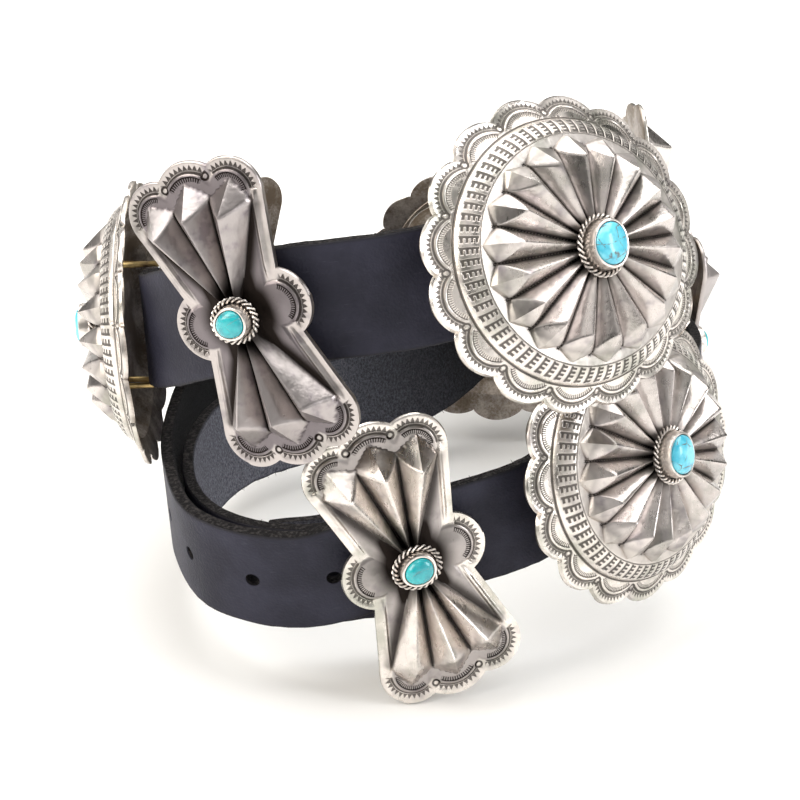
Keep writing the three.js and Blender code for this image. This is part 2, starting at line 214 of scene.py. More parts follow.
class Bench:
    """One material with a principled shader, and the tools to drive it."""

    def __init__(self, name, **fixed):
        self.material = bpy.data.materials.new(name)
        self.material.use_nodes = True
        self.tree = self.material.node_tree
        self.shader = self.tree.nodes["Principled BSDF"]
        for socket, value in fixed.items():
            self.shader.inputs[socket.replace("_", " ")].default_value = value

    def node(self, kind, settings=None, **values):
        """Adds a node, sets it up, then fills or links its sockets by name or number."""
        made = self.tree.nodes.new(kind)
        for key, value in (settings or {}).items():
            setattr(made, key, value)
        for key, value in values.items():
            target = made.inputs[int(key[1:])] if key[1:].isdigit() else made.inputs[key]
            if isinstance(value, Amount):
                value = value.socket
            if isinstance(value, bpy.types.NodeSocket):
                self.tree.links.new(value, target)
            else:
                target.default_value = value
        return made

    def maths(self, operation, *terms):
        sockets = {f"i{i}": term for i, term in enumerate(terms)}
        made = self.node("ShaderNodeMath", {"operation": operation}, **sockets)
        return Amount(self, made.outputs[0])

    def place(self, attribute):
        """The three numbers of a vector attribute of the mesh."""
        read = self.node("ShaderNodeAttribute", {"attribute_name": attribute})
        parts = self.node("ShaderNodeSeparateXYZ", i0=read.outputs["Vector"])
        return [Amount(self, socket) for socket in parts.outputs]

    def stretched(self, stretch, attribute=None):
        """Object coordinates, or those of a vector attribute, scaled along each axis."""
        if attribute:
            where = self.node("ShaderNodeAttribute", {"attribute_name": attribute}).outputs["Vector"]
        else:
            where = self.node("ShaderNodeTexCoord").outputs["Object"]
        return self.node("ShaderNodeMapping", Vector=where, Scale=stretch).outputs[0]

    def noise(self, scale, detail=3.0, rough=0.5, stretch=(1, 1, 1), attribute=None):
        """Cloudy noise from 0 to 1."""
        made = self.node("ShaderNodeTexNoise", Vector=self.stretched(stretch, attribute),
                         Scale=scale, Detail=detail, Roughness=rough)
        return Amount(self, made.outputs[0])

    def cells(self, scale, feature="F1", stretch=(1, 1, 1)):
        made = self.node("ShaderNodeTexVoronoi", {"feature": feature},
                         Vector=self.stretched(stretch), Scale=scale)
        return Amount(self, made.outputs["Distance"])

    def rise(self, value, low, high):
        """0 below low, 1 above high, smooth between."""
        settings = {"interpolation_type": "SMOOTHSTEP"}
        made = self.node("ShaderNodeMapRange", settings, i0=value, i1=low, i2=high)
        return Amount(self, made.outputs[0])

    def line(self, value, centre, half, soft=0.12):
        """1 within half of the centre, falling to 0 outside it."""
        return 1 - self.rise(abs(value - centre), half - soft, half + soft)

    def saw(self, value):
        """The part of a number after its point."""
        return self.maths("FRACT", value)

    def mix(self, share, first, second):
        made = self.node("ShaderNodeMix", {"data_type": "RGBA"}, i0=share, i6=first, i7=second)
        return made.outputs[2]

    def clamp(self, value):
        made = self.node("ShaderNodeClamp", i0=value)
        return Amount(self, made.outputs[0])

    def bump(self, height, distance, strength=1.0, under=None):
        sockets = {"Height": height, "Distance": distance, "Strength": strength}
        if under:
            sockets["Normal"] = under
        return self.node("ShaderNodeBump", **sockets).outputs[0]

    def feed(self, **links):
        """Links colours, amounts and normals to the shader's sockets."""
        for socket, value in links.items():
            if isinstance(value, Amount):
                value = value.socket
            self.tree.links.new(value, self.shader.inputs[socket.replace("_", " ")])
        return self.material


print("bench ready")

# %% [markdown]
# ## Stamps in the silver
# A silversmith strikes the rim with a few steel punches: a crescent, a row of small
# teeth outside it, a row of fine hatching inside it, and a ring with a dot where two
# scallops meet. The broad shapes are in the mesh. The fine ones are worked out here from
# the place on the plate, in mm, and drive both the bump and the dark oxide in the cuts.


# %% Crescent, dot and comb punches
def crescent(b, outward, sideways, radius, span, teeth):
    """Depth of a crescent stamp with its teeth and hatching, 0 to 1."""
    reach = b.maths("SQRT", outward * outward + sideways * sideways)
    turn = b.maths("ARCTAN2", sideways, outward)
    within = 1 - b.rise(abs(turn), span - 0.06, span + 0.04)
    groove = b.line(reach, radius, 0.2) + b.line(reach, radius - 1.0, 0.13, 0.1) * 0.7
    wave = abs(b.saw(turn * (teeth / TURN)) - 0.5) * 2
    tooth_top = wave * 1.15 + (radius + 0.4)
    tooth = b.rise(reach, radius + 0.3, radius + 0.5) * (1 - b.rise(reach - tooth_top, -0.15, 0.1))
    hatch = b.line(b.saw(turn * (teeth * 1.5 / TURN)), 0.5, 0.24, 0.14)
    hatch = hatch * b.line(reach, radius - 1.5, 0.45)
    return (groove + tooth * 0.9 + hatch * 0.7) * within


def ring_dot(b, x, y):
    """Depth of a ring stamp about a point."""
    reach = b.maths("SQRT", x * x + y * y)
    return b.line(reach, 0.75, 0.22)


def sector(b, turn, count, shift=0.0):
    """The angle from the middle of the nearest of so many equal sectors, in radians."""
    return (b.saw(turn * (count / TURN) + (shift + count)) - 0.5) * (TURN / count)


# %% [markdown]
# ## Old silver
# Old hand-made silver is bright where it is rubbed and brown-black where it isn't. The
# same finish serves the conchos and the spacers: each gives its own map of stamped
# depth and of sheltered places, and this adds tarnish, scratches and hammer marks.

# %% Silver finish
BRIGHT_SILVER = (0.80, 0.74, 0.69, 1)
GREEN_SILVER = (0.48, 0.465, 0.41, 1)
LILAC_SILVER = (0.32, 0.285, 0.30, 1)
OXIDE = (0.022, 0.017, 0.015, 1)
BROWN_SILVER = (0.20, 0.155, 0.115, 1)


def silver_finish(b, depth, sheltered, behind, tarnish):
    """Old silver from maps of stamped depth, shelter, the back and even tarnish."""
    clouds = b.noise(95, 4, 0.6)
    patches = b.noise(210, 3, 0.55)
    specks = b.noise(1500, 3, 0.7)
    scratches = b.noise(900, 2, 0.6, (1, 0.12, 0.3))
    tint = b.mix(b.rise(clouds, 0.45, 0.68), BRIGHT_SILVER, GREEN_SILVER)
    tint = b.mix(b.clamp(b.rise(patches, 0.52, 0.8) * 0.6 + tarnish), tint, LILAC_SILVER)
    brown = behind * b.rise(clouds + specks * 0.4, 0.45, 0.85) * 0.8 + behind * 0.2
    tint = b.mix(brown, tint, BROWN_SILVER)
    dark = b.clamp(depth * 0.82 + sheltered + b.rise(specks, 0.66, 0.78) * 0.25)
    colour = b.mix(dark, tint, OXIDE)
    rough = b.clamp(0.15 + patches * 0.14 + scratches * 0.12 + dark * 0.3 + behind * 0.22)
    hammered = b.bump(patches, 0.00022)
    scratched = b.bump(scratches + specks * 0.5, 0.000025, under=hammered)
    stamped = b.bump(1 - b.clamp(depth), 0.00035, under=scratched)
    return b.feed(Base_Color=colour, Roughness=rough, Normal=stamped)


# %% Concho silver
SCALLOPS = 16
FLUTES = 18
COMBS = 72
CRESCENT_RADIUS = 7.5
CRESCENT_CENTRE = 29.1
CRESCENT_SPAN = math.radians(53)
CRESCENT_TEETH = 46
DOT_RADIUS = 34.4
OVAL = CONCHO_HEIGHT / CONCHO_WIDTH


def concho_silver():
    b = Bench("concho_silver", Metallic=1.0)
    x, y = b.place("plate")[:2]
    y = y * (1 / OVAL)
    reach = b.maths("SQRT", x * x + y * y)
    turn = b.maths("ARCTAN2", y, x)
    front = b.place("side")[0]
    leaf = sector(b, turn, SCALLOPS)
    outward = reach * b.maths("COSINE", leaf)
    sideways = reach * b.maths("SINE", leaf)
    stamps = crescent(b, outward - CRESCENT_CENTRE, sideways, CRESCENT_RADIUS, CRESCENT_SPAN,
                      CRESCENT_TEETH)
    notch = sector(b, turn, SCALLOPS, 0.5)
    dot_out = reach * b.maths("COSINE", notch) - DOT_RADIUS
    dot_side = reach * b.maths("SINE", notch)
    stamps = stamps + ring_dot(b, dot_out, dot_side)
    pitch = b.saw(turn * (COMBS / TURN) + COMBS)
    spine = b.line(pitch, 0.22, 0.11, 0.06)
    prongs = b.line(b.saw(reach * 1.12), 0.5, 0.25, 0.1) * b.line(pitch, 0.48, 0.25, 0.06)
    combs = b.clamp(spine + prongs) * b.line(reach, 30.35, 1.75, 0.15)
    rings = b.line(reach, 32.75, 0.16, 0.1) + b.line(reach, 28.3, 0.12, 0.1) * 0.6
    depth = b.clamp(stamps + combs + rings) * front
    flute = abs(sector(b, turn, FLUTES, 0.5)) * reach
    in_star = 1 - b.rise(reach, 25.4, 26.4)
    beads = b.line(b.saw(reach * 1.25), 0.5, 0.28, 0.12) * (1 - b.rise(flute, 0.1, 0.2))
    valley = (1 - b.rise(flute, 0.15, 0.5) - beads) * in_star
    foot = b.line(reach, 26.6, 1.7, 0.9) * 0.32
    hub = 1 - b.rise(reach, 6.5, 10.5)
    # Darker on the flanks near each valley of the star.
    near_valley_dark = (1 - b.rise(flute, 0.2, 1.5)) * in_star * 0.18
    sheltered = (valley * 0.6 + near_valley_dark + foot + hub * 0.4) * front
    return silver_finish(b, depth, sheltered, 1 - front, in_star * 0.38)


concho_finish = concho_silver()
print("concho finish nodes:", len(concho_finish.node_tree.nodes))

# %% Butterfly silver
EAR = (9.0, 0.0, 8.0)
CORNER = (9.3, 25.5, 7.7)
END = (0.0, 25.6, 9.4)
NOTCH = (5.9, 32.2)
FLANK = ((12.25, 7.3), (16.9, 24.4))
BORDER = 2.5
CORNER_TURN = 52
LOBE_SPAN = 62
END_SPAN = 44
LOBE_TEETH = 34
END_TEETH = 40
FAN_ANGLE = math.radians(21)
FAN_HALF = FAN_ANGLE * 0.5


def butterfly_silver(name, tarnish):
    b = Bench(name, Metallic=1.0)
    x, y = b.place("plate")[:2]
    x, y = abs(x), abs(y)
    front, rim, plain = b.place("side")
    lobe, tip = math.radians(LOBE_SPAN), math.radians(END_SPAN)
    ear = crescent(b, x - EAR[0], y - EAR[1], EAR[2] - BORDER, lobe, LOBE_TEETH)
    lean = math.radians(90 - CORNER_TURN)
    corner_x, corner_y = x - CORNER[0], y - CORNER[1]
    corner_out = corner_x * math.sin(lean) + corner_y * math.cos(lean)
    corner_side = corner_x * math.cos(lean) - corner_y * math.sin(lean)
    corner = crescent(b, corner_out, corner_side, CORNER[2] - BORDER, lobe, LOBE_TEETH)
    end = crescent(b, y - END[1], x - END[0], END[2] - BORDER, tip, END_TEETH)
    dots = ring_dot(b, x - (NOTCH[0] - 0.6), y - (NOTCH[1] - 1.9))
    depth = b.clamp(ear + corner + end + dots) * front
    reach = b.maths("SQRT", x * x + y * y)
    fan_turn = b.maths("ARCTAN2", x, y)
    fold = abs(fan_turn - FAN_HALF) * reach
    in_fan = b.rise(reach, 4, 6) * (1 - b.rise(reach, 25.5, 27))
    valley = (1 - b.rise(fold, 0.1, 0.5)) * in_fan
    # Darker on the flanks near each valley of the fans.
    near_valley_dark = (1 - b.rise(fold, 0.3, 1.6)) * in_fan * 0.2
    past_fan = fan_turn - FAN_HALF * 3
    beside = b.rise(past_fan * reach, -0.5, 0.1) * (1 - b.rise(past_fan * reach, 0.5, 3.0))
    hub = (1 - b.rise(reach, 5.5, 11)) * 0.75
    sheltered = (valley * 0.75 + near_valley_dark + hub + beside * in_fan * 0.6) * front
    inner = b.rise(rim, 2.5, 3.2)
    sheltered = sheltered + inner * plain * front * 0.3 + front * tarnish * 0.25
    return silver_finish(b, depth, sheltered, 1 - front, inner * plain * 0.35 + inner * 0.15 + tarnish)


butterfly_finish = butterfly_silver("butterfly_silver", 0.0)
dark_butterfly_finish = butterfly_silver("dark_butterfly_silver", 0.5)
print("butterfly finish nodes:", len(butterfly_finish.node_tree.nodes))


# %% Wire silver, turquoise and brass
def wire_silver():
    b = Bench("wire_silver", Metallic=1.0)
    depth = b.place("plate")[2]
    patches = b.noise(400, 3, 0.6)
    dark = b.clamp(b.rise(depth, 0.0, 0.8) + b.rise(patches, 0.5, 0.75) * 0.35)
    colour = b.mix(dark, BRIGHT_SILVER, OXIDE)
    rough = 0.24 + dark * 0.35 + patches * 0.1
    return b.feed(Base_Color=colour, Roughness=rough, Normal=b.bump(patches, 0.00012))


def turquoise(name, light, deep, veins):
    b = Bench(name, Coat_Weight=0.5, Coat_Roughness=0.08, IOR=1.6)
    clouds = b.noise(260, 5, 0.6)
    threads = b.cells(190, "DISTANCE_TO_EDGE", (1, 1, 1.7))
    wander = b.noise(500, 4, 0.7)
    vein = (1 - b.rise(threads + wander * 0.2, 0.1, 0.122)) * veins
    stone = b.mix(b.rise(clouds, 0.38, 0.66), light, deep)
    colour = b.mix(b.clamp(vein), stone, (0.10, 0.055, 0.03, 1))
    rough = 0.22 + vein * 0.4
    return b.feed(Base_Color=colour, Roughness=rough, Normal=b.bump(clouds - vein, 0.0001))


def brass_wire():
    b = Bench("brass_wire", Metallic=1.0)
    patches = b.noise(300, 4, 0.6)
    colour = b.mix(b.rise(patches, 0.4, 0.7), (0.68, 0.50, 0.22, 1), (0.30, 0.21, 0.11, 1))
    return b.feed(Base_Color=colour, Roughness=0.28 + patches * 0.25, Normal=b.bump(patches, 0.0001))


wire_finish = wire_silver()
sky_stone = turquoise("sky_turquoise", (0.16, 0.66, 0.80, 1), (0.05, 0.46, 0.64, 1), 0.8)
teal_stone = turquoise("teal_turquoise", (0.02, 0.50, 0.53, 1), (0.01, 0.33, 0.38, 1), 0.25)
brass_finish = brass_wire()


# %% [markdown]
# ## Leather
# One strap shows four surfaces: a smooth dyed grain side, a brushed flesh side, cut
# edges with raw fibres, and the walls of the punched holes. Which is which follows from
# the place on the straight strap, which the mesh keeps as an attribute.

# %% Leather finish
def strap_leather():
    b = Bench("strap_leather", Specular_IOR_Level=0.22)
    along, across, out = b.place("strap")
    clouds = b.noise(60, 4, 0.6)
    pores = b.cells(1500)
    grain = b.noise(1100, 4, 0.65)
    nap = b.noise(2300, 4, 0.8, (1, 1, 0.6))
    streaks = b.noise(0.5, 5, 0.7, (0.5, 5, 2), "strap")
    flesh = 1 - b.rise(out, -1.32, -1.1)
    face = b.rise(out, 1.1, 1.32)
    edge = (1 - flesh) * (1 - face)
    outside = b.mix(b.rise(clouds, 0.35, 0.7), (0.015, 0.015, 0.026, 1), (0.028, 0.028, 0.046, 1))
    outside = b.mix(b.rise(streaks, 0.6, 0.78) * 0.35, outside, (0.10, 0.10, 0.13, 1))
    # Painted light and shade: the flesh side is painted near black, as if in shade, along most of the
    # strap, and pale blue-grey, as if lit, over about its last 150 mm.
    painted_shade_flesh = b.mix(b.rise(nap, 0.34, 0.7), (0.004, 0.004, 0.005, 1), (0.016, 0.017, 0.021, 1))
    painted_light_flesh = b.mix(b.rise(nap, 0.34, 0.7), (0.070, 0.073, 0.094, 1), (0.270, 0.280, 0.335, 1))
    inside = b.mix(b.rise(along, strap_length - 190, strap_length - 110), painted_shade_flesh, painted_light_flesh)
    raw = b.mix(b.rise(grain, 0.42, 0.68), (0.010, 0.009, 0.010, 1), (0.058, 0.053, 0.052, 1))
    rim = b.rise(abs(across), 12.1, 12.9) * 0.75
    colour = b.mix(rim, b.mix(flesh, outside, inside), (0.013, 0.012, 0.014, 1))
    colour = b.mix(edge, colour, raw)
    rough = b.clamp(0.48 + grain * 0.14 + flesh * 0.45 + edge * 0.4)
    skin = b.bump(pores * 0.5 + grain, 0.00012)
    fuzz = b.bump(nap * (flesh + edge * 1.4), 0.00045, under=skin)
    return b.feed(Base_Color=colour, Roughness=rough, Normal=fuzz)


leather_finish = strap_leather()
print("leather finish nodes:", len(leather_finish.node_tree.nodes))


# %% [markdown]
# ## From the bench into the coil
# Every mesh is made flat in mm at the origin. Its flat coordinates are kept as an
# attribute for the finishes, and only then is it moved into the coil. The object itself
# stays at the origin, unturned, because the export bakes it there.

# %% Meshes, attributes and pieces
def points_of(mesh):
    flat = np.zeros(len(mesh.vertices) * 3)
    mesh.vertices.foreach_get("co", flat)
    return flat.reshape(-1, 3)


def keep_vector(mesh, name, vectors):
    layer = mesh.attributes.get(name) or mesh.attributes.new(name, "FLOAT_VECTOR", "POINT")
    layer.data.foreach_set("vector", np.asarray(vectors, np.float32).ravel())


def mesh_from(b, name):
    """A mesh from a bmesh whose doubles are merged and faces point out."""
    bmesh.ops.remove_doubles(b, verts=b.verts, dist=1e-4)
    bmesh.ops.recalc_face_normals(b, faces=b.faces)
    mesh = bpy.data.meshes.new(name)
    b.to_mesh(mesh)
    b.free()
    return mesh


def set_points(mesh, points):
    mesh.vertices.foreach_set("co", np.asarray(points, np.float32).ravel())
    mesh.update()


def soften(mesh, angle):
    """Smooth shading that breaks at edges sharper than the angle in degrees."""
    mesh.shade_smooth()
    mesh.set_sharp_from_angle(angle=math.radians(angle))


def add_object(name, data):
    made = bpy.data.objects.new(name, data)
    bpy.context.scene.collection.objects.link(made)
    return made


def show(name, mesh, finishes, nodes=()):
    """Puts a finished mesh in the scene, on the belt's one body."""
    for finish in finishes:
        mesh.materials.append(finish)
    piece = add_object(name, mesh)
    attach(piece, "root")
    if nodes:
        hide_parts(*nodes)


def into_coil(points, place):
    """Flat points in mm, moved by a 4x4 matrix in mm, as metres in the row frame."""
    place = np.array(place)
    return (points @ place[:3, :3].T + place[:3, 3] + stand) * MM


def spin(b, steps):
    """Spins all that a bmesh holds full circle round the z axis."""
    bmesh.ops.spin(b, geom=b.verts[:] + b.edges[:], cent=(0, 0, 0), axis=(0, 0, 1),
                   angle=TURN, steps=steps, use_merge=True)
    return mesh_from(b, "spun")


def spun_profile(profile, steps):
    """A spun body from radius and height pairs, from axis to axis or closed."""
    b = bmesh.new()
    line = [b.verts.new((r, 0, z)) for r, z in profile]
    for pair in zip(line, line[1:]):
        b.edges.new(pair)
    return spin(b, steps)


def rings_and_turns(points):
    """Distance and angle of each point about the z axis."""
    return np.hypot(points[:, 0], points[:, 1]), np.arctan2(points[:, 1], points[:, 0])


def add_cylinder(b, radius, depth, segments, place):
    made = bmesh.ops.create_cone(b, cap_ends=True, segments=segments, radius1=radius,
                                 radius2=radius, depth=depth)
    bmesh.ops.transform(b, verts=made["verts"], matrix=place)


# %% [markdown]
# ## The concho plate
# A concho is a disc of sheet silver: a scalloped rim, a band that rises to a dome, and
# on the dome a star of eighteen kite-shaped flutes. A plain spin gives the disc with its
# rings in the right number. Then each vertex is moved by a formula: its ring says how far
# out it lies, its angle says where on a scallop or flute. The ring that follows the
# flutes' outline makes their edges crisp without a cut.

# %% Concho forms
HUB_RADIUS = 4.4
FLUTE_TIP = 27.8
FLUTE_VALLEY = 25.0
FLUTE_CREST = 21.8
DOME_RISE = 9.6
BAND_TOP = (28.0, 7.2)
BAND_FOOT = (32.6, 4.12)
RIM_DISH = 2.2
SHEET = 1.2
HUB_RISE = 12.0
CREST_RISE = 13.6
HUB_VALLEY_RISE = 10.8
STAR_EDGE_RISE = 0.9
SCALLOP_DEPTH = 2.6
RIM_ROUND = 0.18


def fold(turn, count, shift=0.0):
    """0 in the middle of each of so many sectors, 1 on the lines between them."""
    share = (turn * count / TURN + shift) % 1.0
    return abs(share - 0.5) * 2


def dome_height(radius):
    return DOME_RISE - (DOME_RISE - BAND_TOP[1]) * radius / BAND_TOP[0]


def soft_min(a, b, width):
    return (a + b - np.sqrt((a - b) ** 2 + width**2)) / 2


def flute_height(radius, side):
    """Height of the star: side is 0 on a crest and 1 in a valley."""
    edge = dome_height(FLUTE_TIP) + STAR_EDGE_RISE
    valley_edge = dome_height(FLUTE_VALLEY) + STAR_EDGE_RISE
    rounded = np.sqrt(side**2 + 0.05**2) - 0.02
    past_hub = radius - HUB_RADIUS
    crest = HUB_RISE + (CREST_RISE - HUB_RISE) * past_hub / (FLUTE_CREST - HUB_RADIUS)
    valley_slope = (valley_edge - HUB_VALLEY_RISE) * past_hub / (FLUTE_VALLEY - HUB_RADIUS)
    valley = HUB_VALLEY_RISE + valley_slope
    swell = 0.35 * np.sin(np.pi * np.clip(side, 0, 1)) * np.clip((radius - 6) / 12, 0, 1)
    flank = crest + (valley - crest) * rounded + swell
    slope = (edge - CREST_RISE) / (FLUTE_TIP - FLUTE_CREST)
    drop = valley_edge - CREST_RISE - slope * (FLUTE_VALLEY - FLUTE_CREST)
    tip = CREST_RISE + slope * (radius - FLUTE_CREST) + drop * side
    groove = 0.3 * np.exp(-(((1 - side) * radius * math.pi / FLUTES / 0.3) ** 2))
    return soft_min(flank, tip, 0.12) - groove


def crescent_height(radius, turn):
    """The broad ridge and groove of the crescent on each scallop."""
    leaf = ((turn * SCALLOPS / TURN) % 1.0 - 0.5) * TURN / SCALLOPS
    out, side = radius * np.cos(leaf) - CRESCENT_CENTRE, radius * np.sin(leaf)
    reach, angle = np.hypot(out, side), np.abs(np.arctan2(side, out))
    within = np.clip((CRESCENT_SPAN + 0.1 - angle) / 0.15, 0, 1)
    ridge = 0.28 * np.exp(-(((reach - CRESCENT_RADIUS + 0.5) / 0.42) ** 2))
    sunk = 0.22 * np.exp(-(((reach - CRESCENT_RADIUS - 0.7) / 0.8) ** 2))
    return within * (ridge - sunk)


def scallop_radius(turn):
    share = (turn * SCALLOPS / TURN) % 1.0
    return CONCHO_WIDTH / 2 - SCALLOP_DEPTH * (1 - np.sin(np.pi * share) ** 0.7)


# %% Concho plate
STAR_RINGS = 44
TIP_RINGS = 12
DOME_RINGS = 7
BAND_RINGS = 12
RIM_RINGS = 20
BACK_RINGS = 12
PLATE_STEPS = 432


def concho_points(ring, turn):
    side = fold(turn, FLUTES)
    crest_line = FLUTE_CREST + (FLUTE_VALLEY - FLUTE_CREST) * side
    outline = FLUTE_TIP - (FLUTE_TIP - FLUTE_VALLEY) * side
    star_end = STAR_RINGS + TIP_RINGS
    dome_end = star_end + DOME_RINGS
    band_end = dome_end + BAND_RINGS
    rim_end = band_end + RIM_RINGS
    rows = [
        (0, 0),
        (STAR_RINGS, crest_line),
        (star_end, outline),
        (star_end + 1, outline + 0.08),
        (dome_end, BAND_TOP[0] + 0.5),
        (band_end, BAND_FOOT[0]),
        (band_end + 2, BAND_FOOT[0] + 0.5),
        (rim_end, scallop_radius(turn)),
        (rim_end + 2, scallop_radius(turn)),
        (rim_end + 4, BAND_FOOT[0] - 0.8),
        (rim_end + 6, BAND_FOOT[0] - 1.2),
        (rim_end + 9, BAND_TOP[0] - 0.6),
        (rim_end + BACK_RINGS, 0),
    ]
    radius = np.zeros_like(ring)
    for (start, low), (end, high) in zip(rows, rows[1:]):
        here = (ring >= start) & (ring <= end)
        share = (ring - start) / (end - start)
        radius = np.where(here, low + (high - low) * share, radius)
    star = flute_height(np.maximum(radius, HUB_RADIUS), side)
    dome = dome_height(radius)
    band_share = np.clip((radius - BAND_TOP[0] - 0.5) / (BAND_FOOT[0] - BAND_TOP[0] - 0.5), 0, 1)
    band = BAND_TOP[1] - 0.1 + (BAND_FOOT[1] - BAND_TOP[1]) * band_share
    band = band + 0.45 * np.sin(np.pi * band_share) - 0.1 * (band_share > 0.99)
    rim_share = (radius - BAND_FOOT[0]) / (CONCHO_WIDTH / 2 - BAND_FOOT[0])
    rim = 3.35 + (SHEET - 3.35) * rim_share - 0.25 * np.sin(np.pi * np.clip(rim_share, 0, 1))
    rim = rim + crescent_height(radius, turn)
    rim_back = RIM_DISH * (1 - rim_share)
    band_back = RIM_DISH + 0.36 + (BAND_FOOT[0] - 1.2 - radius) * 0.9
    dome_back = np.minimum(dome - SHEET, band_back)
    height = np.where(ring <= star_end, star, dome)
    height = np.where(ring > dome_end, band, height)
    height = np.where(ring > band_end, rim, height)
    back = np.where(ring > rim_end + 4.5, dome_back, np.maximum(rim_back, 0))
    height, trim = with_back(height, ring, rim_end, back)
    radius = radius - trim
    flat = np.stack([radius * np.cos(turn), radius * np.sin(turn) * OVAL, height], axis=1)
    front = (ring <= rim_end + 1.2).astype(float)
    return flat, np.stack([front, front, front], axis=1)


def with_back(height, ring, rim_end, back):
    """Heights with the sheet's rounded edge and back, and how far the edge draws in."""
    first, middle, last = (np.isclose(ring, rim_end + k) for k in range(3))
    height = np.where(first, SHEET - 0.15, height)
    height = np.where(middle, SHEET / 2, height)
    return np.where(ring > rim_end + 1.5, back, height), RIM_ROUND * (first | last)


def plate_mesh(name, rings, shape):
    """A spun disc whose radius is its ring number, moved to its shape by a formula."""
    mesh = spun_profile([(i, 0) for i in range(rings + 1)], PLATE_STEPS)
    points, sides = shape(*rings_and_turns(points_of(mesh)))
    set_points(mesh, points)
    keep_vector(mesh, "side", sides)
    b = bmesh.new()
    b.from_mesh(mesh)
    bpy.data.meshes.remove(mesh)
    return mesh_from(b, name)


concho_rings = STAR_RINGS + TIP_RINGS + DOME_RINGS + BAND_RINGS + RIM_RINGS + BACK_RINGS
concho_plate = plate_mesh("concho_plate", concho_rings, concho_points)
print("concho plate faces:", len(concho_plate.polygons))

# %% [markdown]
# ## The butterfly plate
# The spacer is an hourglass with three lobes at each end and an ear on each side. Every
# straight line from its middle meets its outline once, so the same spun disc can be
# stretched to the outline. Its height is then a formula of the place: a flat border, a
# soft raised body, and three kite-shaped flutes at each end.

# %% Butterfly forms
FAN_REACH = 30.0
FAN_CREST = 23.4
FAN_VALLEY = 26.2
FAN_HUB = 3.4
FAN_HUB_RISE = 4.2
FAN_CREST_RISE = 8.6
FAN_TIP_RISE = 1.9
FAN_VALLEY_RISE = 2.2
OUTSIDE = -9.0
FRONT_RINGS = 76
BUTTERFLY_BACK_RINGS = 8


def outline_reach(turn):
    """How far the butterfly's outline lies from its middle, at each angle."""
    best = np.zeros_like(turn)
    ux, uy = np.abs(np.cos(turn)), np.abs(np.sin(turn))
    for cx, cy, r in (EAR, CORNER, END):
        middle = cx * ux + cy * uy
        inside = middle**2 - (cx**2 + cy**2 - r**2)
        best = np.maximum(best, np.where(inside > 0, middle + np.sqrt(np.maximum(inside, 0)), 0))
    (x1, y1), (x2, y2) = FLANK
    bottom = ux * (y2 - y1) - uy * (x2 - x1)
    side = (x1 * (y2 - y1) - y1 * (x2 - x1)) / np.where(np.abs(bottom) < 1e-6, 1e-6, bottom)
    ahead = (side * ux <= x2 + 0.2) & (side > 0) & (side * uy >= y1)
    return np.maximum(best, np.where(ahead, side, 0))


def fan_height(x, y):
    """The three flutes of the nearer end."""
    reach = np.hypot(x, y)
    turn = np.abs(np.arctan2(np.abs(x), np.abs(y)))
    nearest = np.round(np.clip(turn, 0, FAN_ANGLE) / FAN_ANGLE) * FAN_ANGLE
    side = np.abs(turn - nearest) / FAN_HALF
    outline = FAN_REACH - (FAN_REACH - FAN_VALLEY) * side
    inner = turn < FAN_ANGLE * 1.5
    climb = (FAN_CREST_RISE - FAN_HUB_RISE) * (reach - FAN_HUB)
    crest = FAN_HUB_RISE + climb / (FAN_CREST - FAN_HUB)
    outer_side = (turn > FAN_ANGLE) & inner
    valley = np.where(outer_side, 1.6, FAN_TIP_RISE + 0.5 * reach / FAN_VALLEY)
    flank = crest + (valley - crest) * (np.sqrt(side**2 + 0.05**2) - 0.02)
    flank = flank + 0.4 * np.sin(np.pi * np.clip(side, 0, 1)) * np.clip((reach - 5) / 12, 0, 1)
    slope = (FAN_TIP_RISE - FAN_CREST_RISE) / (FAN_REACH - FAN_CREST)
    drop = FAN_VALLEY_RISE - FAN_CREST_RISE - slope * (FAN_VALLEY - FAN_CREST)
    tip = FAN_CREST_RISE + slope * (reach - FAN_CREST) + drop * side
    height = soft_min(flank, tip, 0.15)
    return np.where(inner & (reach < outline), height, OUTSIDE)


def rim_distance(x, y):
    """How far a place on the butterfly lies inside its outline."""
    x, y = np.abs(x), np.abs(y)
    best = np.max([r - np.hypot(x - cx, y - cy) for cx, cy, r in (EAR, CORNER, END)], axis=0)
    return np.maximum(best, np.where(y < 25, flank_gap(x, y), OUTSIDE))


def flank_gap(x, y):
    """How far a place lies inside the straight flank between an ear and a corner lobe."""
    along, up = (b - a for a, b in zip(*FLANK))
    return (along * (y - FLANK[0][1]) - up * (x - FLANK[0][0])) / math.hypot(along, up)


def butterfly_stamp(x, y):
    """The broad ridge and groove of the crescents on lobes and ears."""
    x, y = np.abs(x), np.abs(y)
    total = np.zeros_like(x)
    lobes = ((EAR, 0, LOBE_SPAN), (CORNER, CORNER_TURN, LOBE_SPAN), (END, 90, END_SPAN))
    for (cx, cy, r), middle, span in lobes:
        reach = np.hypot(x - cx, y - cy)
        angle = np.abs(np.degrees(np.arctan2(y - cy, x - cx)) - middle)
        within = np.clip((span + 5 - angle) / 8, 0, 1)
        past = reach - (r - BORDER)
        ridge = 0.3 * np.exp(-(((past + 0.5) / 0.45) ** 2))
        sunk = 0.25 * np.exp(-(((past - 0.7) / 0.8) ** 2))
        total = total + within * (ridge - sunk)
    return total


